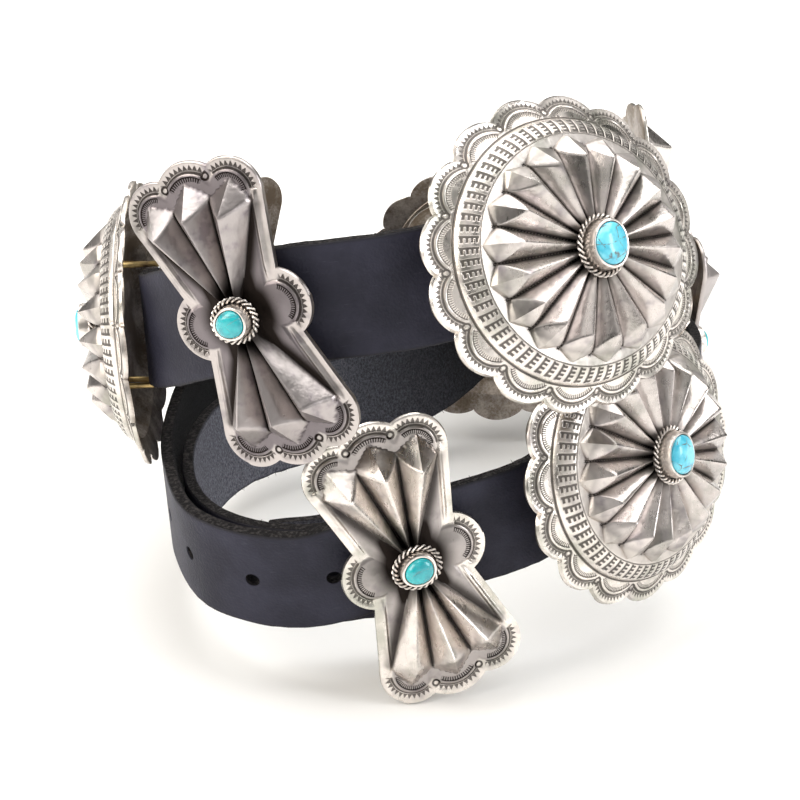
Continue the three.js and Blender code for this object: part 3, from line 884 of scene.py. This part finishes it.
def butterfly_points(ring, turn):
    edge = outline_reach(turn)
    past = ring - FRONT_RINGS
    share = np.clip(ring / FRONT_RINGS, 0, 1)
    share = np.where(past > 1.5, 1 - (past - 2) / BUTTERFLY_BACK_RINGS, share)
    reach = edge * share
    x, y = reach * np.cos(turn), reach * np.sin(turn)
    rim = rim_distance(x, y)
    body = 0.35 * np.clip((rim - 2.6) / 0.9, 0, 1)
    waist = 0.6 * np.exp(-((y / 9) ** 2)) * np.clip((rim - 3) / 4, 0, 1)
    on_flank = np.clip((np.abs(y) - 5) / 4, 0, 1) * np.clip((25 - np.abs(y)) / 3, 0, 1)
    ridge = 0.75 * on_flank * np.exp(-(((flank_gap(np.abs(x), np.abs(y)) - 2.1) / 0.55) ** 2))
    plate, fans = SHEET + body + waist + ridge, fan_height(x, y)
    height = np.maximum(plate, fans) + butterfly_stamp(x, y)
    height, trim = with_back(height, ring, FRONT_RINGS, 0.0)
    x, y = (v * (1 - trim / edge) for v in (x, y))
    front = (past <= 1.2).astype(float)
    plain = (fans < plate + 0.1).astype(float)
    return np.stack([x, y, height], axis=1), np.stack([front, rim, plain], axis=1)


butterfly_rings = FRONT_RINGS + 2 + BUTTERFLY_BACK_RINGS
butterfly_plate = plate_mesh("butterfly_plate", butterfly_rings, butterfly_points)
print("butterfly plate faces:", len(butterfly_plate.polygons))


# %% [markdown]
# ## Settings and stones
# Each stone stands in a cup of thin sheet with a ring of twisted wire round its foot.
# Two wires twisted together have a section of two touching circles that turns as it goes
# round, so a spun ring with that section's radius gives every strand at once. The cup
# and the stone are spun too, then pressed out of round the same way, as hand work is.

# %% Rope, bezel and stone
ROPE_GAUGE = 1.5
ROPE_SIDES = 14
BEZEL_PLAY = 0.3
BEZEL_WALL = 0.5


def uneven(turn):
    """How much a hand-shaped stone departs from round."""
    return 1 - 0.035 * (1 + np.cos(2 * turn + 0.9)) - 0.02 * (1 + np.cos(3 * turn))


def rope_mesh(radius, base, twists):
    """Two wires twisted together into a ring, lying on the height base."""
    b = bmesh.new()
    circle = bmesh.ops.create_circle(b, segments=ROPE_SIDES, radius=0.3)
    turned = Matrix.Translation((radius, 0, 0)) @ Matrix.Rotation(math.pi / 2, 4, "X")
    bmesh.ops.transform(b, verts=circle["verts"], matrix=turned)
    mesh = spin(b, twists * ROPE_SIDES)
    points = points_of(mesh)
    reach, turn = rings_and_turns(points)
    section = np.arctan2(points[:, 2], reach - radius)
    strand = section - twists * turn
    wire = ROPE_GAUGE / 4
    centre = wire * 0.92
    width = centre * np.abs(np.cos(strand)) + np.sqrt(wire**2 - (centre * np.sin(strand)) ** 2)
    ring = (radius + width * np.cos(section)) * (1 + (uneven(turn) - 1) * 0.5)
    set_points(mesh, np.stack([ring * np.cos(turn), ring * np.sin(turn),
                               base + ROPE_GAUGE / 2 + width * np.sin(section)], axis=1))
    hidden = np.clip((0.6 - width) / 0.35, 0, 1)
    keep_vector(mesh, "side", np.stack([hidden] * 3, axis=1))
    return mesh


def press(mesh):
    """Presses a spun cup or stone out of round."""
    points = points_of(mesh)
    points[:, :2] *= uneven(rings_and_turns(points)[1])[:, None]
    set_points(mesh, points)
    keep_vector(mesh, "side", np.zeros_like(points))
    return mesh


def bezel_mesh(stone, base, cup):
    inner, outer = stone + BEZEL_PLAY, stone + (BEZEL_PLAY + BEZEL_WALL)
    top = base + cup
    profile = [
        (0, base - 0.3), (outer, base - 0.3), (outer, base + 1), (outer - 0.05, top - 0.8),
        (outer - 0.22, top - 0.12), (outer - 0.4, top), (inner - 0.2, top - 0.02),
        (inner - 0.15, top - 0.6), (inner - 0.1, base + 1), (0, base + 1),
    ]
    return press(spun_profile(profile, 96))


def stone_mesh(stone, base, cup):
    girdle, side = base + cup, stone - 0.1
    profile = [(0, base + 1.3), (side, base + 1.3), (side, girdle - 0.4)]
    for i in range(1, 13):
        angle = math.pi / 2 * i / 12
        profile.append((side * math.cos(angle), girdle - 0.4 + 2.1 * math.sin(angle) ** 0.9))
    mesh = press(spun_profile(profile, 64))
    points = points_of(mesh)
    high = np.clip((points[:, 2] - girdle) / 2, 0, 1)
    lumps = 0.18 * np.sin(points[:, 0] * 0.9) + 0.12 * np.cos(points[:, 1] * 1.3) + 0.2
    points[:, 2] -= high * lumps
    set_points(mesh, points)
    return mesh


KINDS = {
    "concho": {"plate": concho_plate, "finishes": (concho_finish,), "domed": True,
               "stone": 4.8, "base": HUB_RISE, "cup": 4.0, "oval": (1.0, 1.0),
               "twists": 15, "spread": 24.0, "turquoise": sky_stone},
    "butterfly": {"plate": butterfly_plate, "finishes": (butterfly_finish, dark_butterfly_finish),
                  "domed": False, "stone": 3.3, "base": FAN_HUB_RISE, "cup": 3.3,
                  "oval": (1.12, 0.96), "twists": 12, "spread": 11.0, "turquoise": teal_stone},
}
# The numbers of the ornaments that take their kind's second, darker finish
DARKER_FINISH_NUMBERS = {"butterfly": (2, 4)}
for kind in KINDS.values():
    stone, base, cup = kind["stone"], kind["base"], kind["cup"]
    rope_radius = stone + (BEZEL_PLAY + BEZEL_WALL) + ROPE_GAUGE / 2
    kind["rope"] = rope_mesh(rope_radius, base, kind["twists"])
    kind["bezel"] = bezel_mesh(stone, base, cup)
    kind["cabochon"] = stone_mesh(stone, base, cup)
    for mesh in (kind["rope"], kind["bezel"], kind["cabochon"]):
        set_points(mesh, points_of(mesh) * (*kind["oval"], 1))
print("rope faces:", len(KINDS["concho"]["rope"].polygons))


# %% [markdown]
# ## Putting the ornaments on the strap
# A tipped plate needs a little more room behind it, and it turns on its staples by its
# roll. Plate, cup and rope are soldered in the real belt, so they are joined into one
# piece that takes the place of the solid plate.

# %% Joining and placing
WIRE = 1.4
WIRE_PLAY = 0.9
SIDE_PLAY = 0.63
SEAT_GAP = 1.4


def joined(meshes, finish_numbers):
    """One mesh from several, each with its own finish number, in their flat places."""
    b = bmesh.new()
    for mesh, number in zip(meshes, finish_numbers):
        start = len(b.faces)
        b.from_mesh(mesh)
        b.faces.ensure_lookup_table()
        for face in b.faces[start:]:
            face.material_index = number
    made = bpy.data.meshes.new("joined")
    b.to_mesh(made)
    b.free()
    return made


def row_length(row):
    return table_lengths[round(row / LAST_ROW * (len(table_lengths) - 1))]


def frame_matrix(distance):
    middle, along, across, out = (v[0] for v in strap_frames(np.array([distance])))
    made = np.eye(4)
    made[:3, 0], made[:3, 1], made[:3, 2], made[:3, 3] = along, across, out, middle
    return made


def plate_matrix(row):
    tip, roll = (math.radians(v) for v in ROUTE[row][5:7])
    rise = STRAP_THICKNESS / 2 + SEAT_GAP + STRAP_WIDTH / 2 * abs(math.sin(tip))
    tipped = Matrix.Translation((0, 0, rise)) @ Matrix.Rotation(tip, 4, "X")
    return frame_matrix(row_length(row)) @ np.array(tipped @ Matrix.Rotation(roll, 4, "Z"))


def seat(mesh, place, angle):
    """Moves a flat mesh to its place in the coil and shades it."""
    set_points(mesh, into_coil(points_of(mesh), place))
    soften(mesh, angle)
    return mesh


# %% Staples
def leg_top(place, side, domed):
    """How far a staple's leg runs before it ends inside the plate's sheet."""
    top = 0.0
    for _ in range(3):
        x, y, z = (place @ (0, side, top, 1))[:3]
        back = dome_height(math.hypot(x, y / OVAL)) - SHEET if domed else 0
        top += (back + SHEET / 2 - z) / place[2, 2]
    return top


def staple_mesh(row, kind, plate):
    """Two wire bridges round the strap, with their legs soldered behind the plate."""
    b = bmesh.new()
    back = -STRAP_THICKNESS / 2 - WIRE_PLAY - WIRE / 2
    side = STRAP_WIDTH / 2 + SIDE_PLAY + WIRE / 2
    flat = np.linalg.inv(plate)
    for shift in (-kind["spread"] / 2, kind["spread"] / 2):
        place = flat @ frame_matrix(row_length(row) + shift)
        moved = Matrix(place.tolist())
        for y in (-side, side):
            top = leg_top(place, y, kind["domed"])
            middle = moved @ Matrix.Translation((0, y, (top + back) / 2))
            add_cylinder(b, WIRE / 2, top - back, 12, middle)
            knee = bmesh.ops.create_uvsphere(b, u_segments=12, v_segments=8, radius=WIRE / 2)
            corner = moved @ Matrix.Translation((0, y, back))
            bmesh.ops.transform(b, verts=knee["verts"], matrix=corner)
        behind = moved @ Matrix.Translation((0, 0, back))
        add_cylinder(b, WIRE / 2, 2 * side, 12, behind @ Matrix.Rotation(math.pi / 2, 4, "X"))
    return mesh_from(b, "staples")


# %% Ten ornaments
counts = {"concho": 0, "butterfly": 0}
for row, entry in enumerate(ROUTE):
    if len(entry) < 7:
        continue
    name = entry[4]
    kind = KINDS[name]
    counts[name] += 1
    number = counts[name]
    place = plate_matrix(row)
    silver = joined([kind["plate"], kind["bezel"], kind["rope"]], [0, 1, 1])
    plate_place = points_of(silver)
    hidden = np.zeros(plate_place.size, np.float32)
    silver.attributes["side"].data.foreach_get("vector", hidden)
    wires_from = len(kind["plate"].vertices)
    plate_place[wires_from:, 2] = hidden.reshape(-1, 3)[wires_from:, 0]
    keep_vector(silver, "plate", plate_place)
    seat(silver, place, 38)
    finish = kind["finishes"][number in DARKER_FINISH_NUMBERS.get(name, ())]
    show(f"{name}_silver_{number}", silver, [finish, wire_finish], [f"{name}_{number}"])
    stone = seat(kind["cabochon"].copy(), place, 50)
    show(f"{name}_turquoise_{number}", stone, [kind["turquoise"]],
         [f"{name}_stone_{number}"])
    wires = seat(staple_mesh(row, kind, place), place, 50)
    show(f"{name}_staples_{number}", wires, [brass_finish])
print("ornaments:", counts)

# %% [markdown]
# ## The strap
# The strap is drawn flat: a long grid, shaped at its tip, given its thickness by an
# extrusion, with the four holes and the prong's slot punched while it is still straight.
# After that it is bent along the middle line. Past the buckle's bar it runs round the bar
# and back behind itself, as a buckle strap is folded.

# %% Straight strap
LOOP_RADIUS = 3.3
BAR_PLACE = (2.27, -3.04)
FOLD_LENGTH = 24.0
FOLD_HEIGHT = -3.15
HOLES = 4
FIRST_HOLE = 101
HOLE_PITCH = 18.5
HOLE_RADIUS = 1.7
PRONG_SLOT = (13.5, 3.6)
PUNCH_DEPTH = 9
loop_length = math.pi * LOOP_RADIUS
straight_length = strap_length + BAR_PLACE[0] + loop_length + FOLD_LENGTH


def tip_width(distance):
    return np.interp(distance / TIP_LENGTH, [0, 0.06, 0.15, 0.3, 0.48, 0.65, 0.85, 1],
                     [0.3, 0.42, 0.54, 0.68, 0.81, 0.9, 0.97, 1])


def straight_strap():
    b = bmesh.new()
    bmesh.ops.create_grid(b, x_segments=690, y_segments=18, size=0.5)
    bmesh.ops.transform(b, verts=b.verts, matrix=Matrix.Translation((0.5, 0, 0)))
    bmesh.ops.scale(b, verts=b.verts, vec=(straight_length, STRAP_WIDTH, 1))
    bmesh.ops.translate(b, verts=b.verts, vec=(0, 0, -STRAP_THICKNESS / 2))
    raised = bmesh.ops.extrude_face_region(b, geom=b.faces[:])
    top = [v for v in raised["geom"] if isinstance(v, bmesh.types.BMVert)]
    bmesh.ops.translate(b, verts=top, vec=(0, 0, STRAP_THICKNESS))
    rims = [e for e in b.edges if e.calc_face_angle(0) > 1]
    bmesh.ops.bevel(b, geom=rims, offset=0.45, offset_type="OFFSET", segments=3, profile=0.5,
                    affect="EDGES", material=-1, clamp_overlap=True)
    for vert in b.verts:
        vert.co.y *= tip_width(vert.co.x)
    return mesh_from(b, "strap")


def punched(mesh):
    """The strap with its holes and its slot cut out."""
    b = bmesh.new()
    for hole in range(HOLES):
        place = Matrix.Translation((FIRST_HOLE + HOLE_PITCH * hole, 0, 0))
        add_cylinder(b, HOLE_RADIUS, PUNCH_DEPTH, 28, place)
    slot = bmesh.ops.create_cube(b, size=1)
    bmesh.ops.scale(b, verts=slot["verts"], vec=(*PRONG_SLOT, PUNCH_DEPTH))
    bmesh.ops.translate(b, verts=slot["verts"], vec=(strap_length + 5, 0, 0))
    cutter = add_object("punch", mesh_from(b, "punch"))
    body = add_object("blank", mesh)
    cut = body.modifiers.new("punch", "BOOLEAN")
    cut.operation = "DIFFERENCE"
    cut.solver = "EXACT"
    cut.object = cutter
    bpy.context.view_layer.update()
    ready = body.evaluated_get(bpy.context.evaluated_depsgraph_get())
    made = bpy.data.meshes.new_from_object(ready)
    for thing in (cutter, body):
        bpy.data.objects.remove(thing)
    return made


strap_mesh = punched(straight_strap())
print("strap faces:", len(strap_mesh.polygons))


# %% Bending it into the coil
def bend(points):
    """Straight strap points in mm, bent into the coil, in metres."""
    along = np.clip(points[:, 0], 0, strap_length)
    middle, forward, across, out = strap_frames(along)
    past = points[:, 0] - strap_length
    turn = np.clip((past - BAR_PLACE[0]) / LOOP_RADIUS, 0, math.pi)
    back = np.maximum(past - BAR_PLACE[0] - loop_length, 0)
    thick = np.where(past > 0, points[:, 2] * (1 - 0.2 * np.clip(past / 4, 0, 1)), points[:, 2])
    lift = np.where(past > 0, 0.26 * np.clip(past / BAR_PLACE[0], 0, 1), 0)
    round_bar = LOOP_RADIUS + thick
    loop_x = BAR_PLACE[0] + np.sin(turn) * round_bar - back
    sink = (FOLD_HEIGHT - BAR_PLACE[1] + LOOP_RADIUS) * (1 - np.exp(-((back / 6) ** 2)))
    loop_z = BAR_PLACE[1] + np.cos(turn) * round_bar + sink
    in_loop = past > BAR_PLACE[0]
    x = np.where(in_loop, loop_x, np.maximum(past, 0))
    z = np.where(in_loop, loop_z, thick + lift)
    bent = middle + forward * x[:, None] + across * points[:, 1:2] + out * z[:, None]
    return (bent + stand) * MM


flat = points_of(strap_mesh)
keep_vector(strap_mesh, "strap", flat)
rng = np.random.default_rng(4)
edge_share = np.clip((np.abs(flat[:, 1]) - 12.2) / 0.8, 0, 1)
waver_places = np.arange(0, straight_length + 2, 1.7)
waver = np.interp(flat[:, 0], waver_places, rng.normal(0, 0.07, len(waver_places)))
flat[:, 1] += edge_share * waver * np.sign(flat[:, 1])
set_points(strap_mesh, bend(flat))
soften(strap_mesh, 40)
show("strap_leather", strap_mesh, [leather_finish], ["strap"])
print("strap vertices:", len(strap_mesh.vertices))

# %% [markdown]
# Raw fibres stand out of the cut edges, most of them along the lower one. Each is a thin
# cone of three sides, too small to need more.


# %% Fibres
CUT_EDGE = 12.95


def fibres(count):
    b = bmesh.new()
    for _ in range(count):
        low = rng.random() < 0.72
        made = bmesh.ops.create_cone(b, cap_ends=True, segments=3, radius1=0.12, radius2=0.03,
                                     depth=rng.uniform(0.6, 1.8))
        tilt = Matrix.Rotation(rng.normal(0, 0.7), 4, "Z") @ Matrix.Rotation(rng.normal(0, 0.6), 4, "X")
        turn = tilt @ Matrix.Rotation(math.pi / 2 if low else -math.pi / 2, 4, "X")
        along = rng.uniform(25, strap_length - 5)
        edge = -CUT_EDGE if low else CUT_EDGE
        root = Matrix.Translation((along, edge, rng.uniform(-1.4, 0.9)))
        bmesh.ops.transform(b, verts=made["verts"], matrix=root @ turn)
    return mesh_from(b, "fibres")


fibre_mesh = fibres(1000)
flat = points_of(fibre_mesh)
keep_vector(fibre_mesh, "strap", flat * np.array([1, 1, 0]))
set_points(fibre_mesh, bend(flat))
show("strap_fibres", fibre_mesh, [leather_finish])
print("fibre faces:", len(fibre_mesh.polygons))

# %% [markdown]
# ## The buckle
# The buckle lies hidden at the inner end. Its solid has the right plain shape, so it
# stays and takes the brass finish.

# %% Buckle
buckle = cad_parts["buckle"]
buckle.data.materials.clear()
buckle.data.materials.append(brass_finish)

# %% [markdown]
# ## Floor, light and camera
# The belt was photographed on white, lit softly from above and from the left. A pale
# floor that runs far back stands for the white paper. Large soft lights give the silver
# something bright to mirror, and the room's dark part gives it its contrast.


# %% Stage
paper = Bench("paper", Roughness=0.9, Base_Color=(0.93, 0.93, 0.92, 1))
floor_mesh = bmesh.new()
bmesh.ops.create_grid(floor_mesh, x_segments=1, y_segments=1, size=4)
floor = add_object("floor", mesh_from(floor_mesh, "floor"))
floor.data.materials.append(paper.material)
floor.location.z = -0.0002


def soft_light(name, place, target, size, power, colour=(1, 1, 1)):
    data = bpy.data.lights.new(name, "AREA")
    data.shape = "RECTANGLE"
    data.size, data.size_y = size
    data.energy = power
    data.color = colour
    lamp = add_object(name, data)
    lamp.location = place
    lamp.rotation_euler = (Vector(target) - Vector(place)).to_track_quat("-Z", "Y").to_euler()


aim = (0, 0, 0.06)
soft_light("key", (-0.95, -0.45, 0.75), aim, (0.7, 0.9), 11, (1, 0.94, 0.86))
soft_light("right", (0.9, -0.4, 0.45), aim, (0.3, 0.7), 4.0, (0.97, 0.98, 1))
soft_light("top", (0.0, 0.35, 1.3), (0, 0.1, 0), (2.0, 1.4), 27, (1, 0.99, 0.97))


def dim_room():
    """A room that is bright in some directions and dark in others."""
    made = bpy.data.worlds.new("room")
    made.use_nodes = True
    tree = made.node_tree
    where = tree.nodes.new("ShaderNodeTexCoord")
    clouds = tree.nodes.new("ShaderNodeTexNoise")
    clouds.inputs["Scale"].default_value = 2.3
    clouds.inputs["Detail"].default_value = 1.0
    ramp = tree.nodes.new("ShaderNodeMapRange")
    ramp.interpolation_type = "SMOOTHSTEP"
    stops = {"From Min": 0.46, "From Max": 0.56, "To Min": 0.015, "To Max": 0.85}
    for socket, value in stops.items():
        ramp.inputs[socket].default_value = value
    tree.links.new(where.outputs["Generated"], clouds.inputs["Vector"])
    tree.links.new(clouds.outputs[0], ramp.inputs["Value"])
    background = tree.nodes["Background"]
    background.inputs["Color"].default_value = (1, 0.985, 0.96, 1)
    tree.links.new(ramp.outputs[0], background.inputs["Strength"])
    return made


bpy.context.scene.world = dim_room()
bpy.context.scene.view_settings.view_transform = "Standard"

# %% Camera
LOOK_HEIGHT = 52
LOOK_AT = Vector((stand[0], stand[1], LOOK_HEIGHT + stand[2])) * MM
DISTANCE = 0.537
PITCH = math.radians(25)
camera_data = bpy.data.cameras.new("camera")
camera_data.lens = 99
camera_data.sensor_width = 36
camera = add_object("camera", camera_data)
back = Vector((0, -math.cos(PITCH), math.sin(PITCH)))
camera.location = LOOK_AT + back * DISTANCE
camera.rotation_euler = (-back).to_track_quat("-Z", "Y").to_euler()
camera_data.clip_start = 0.01
bpy.context.scene.camera = camera
print("camera at", tuple(round(v, 3) for v in camera.location))
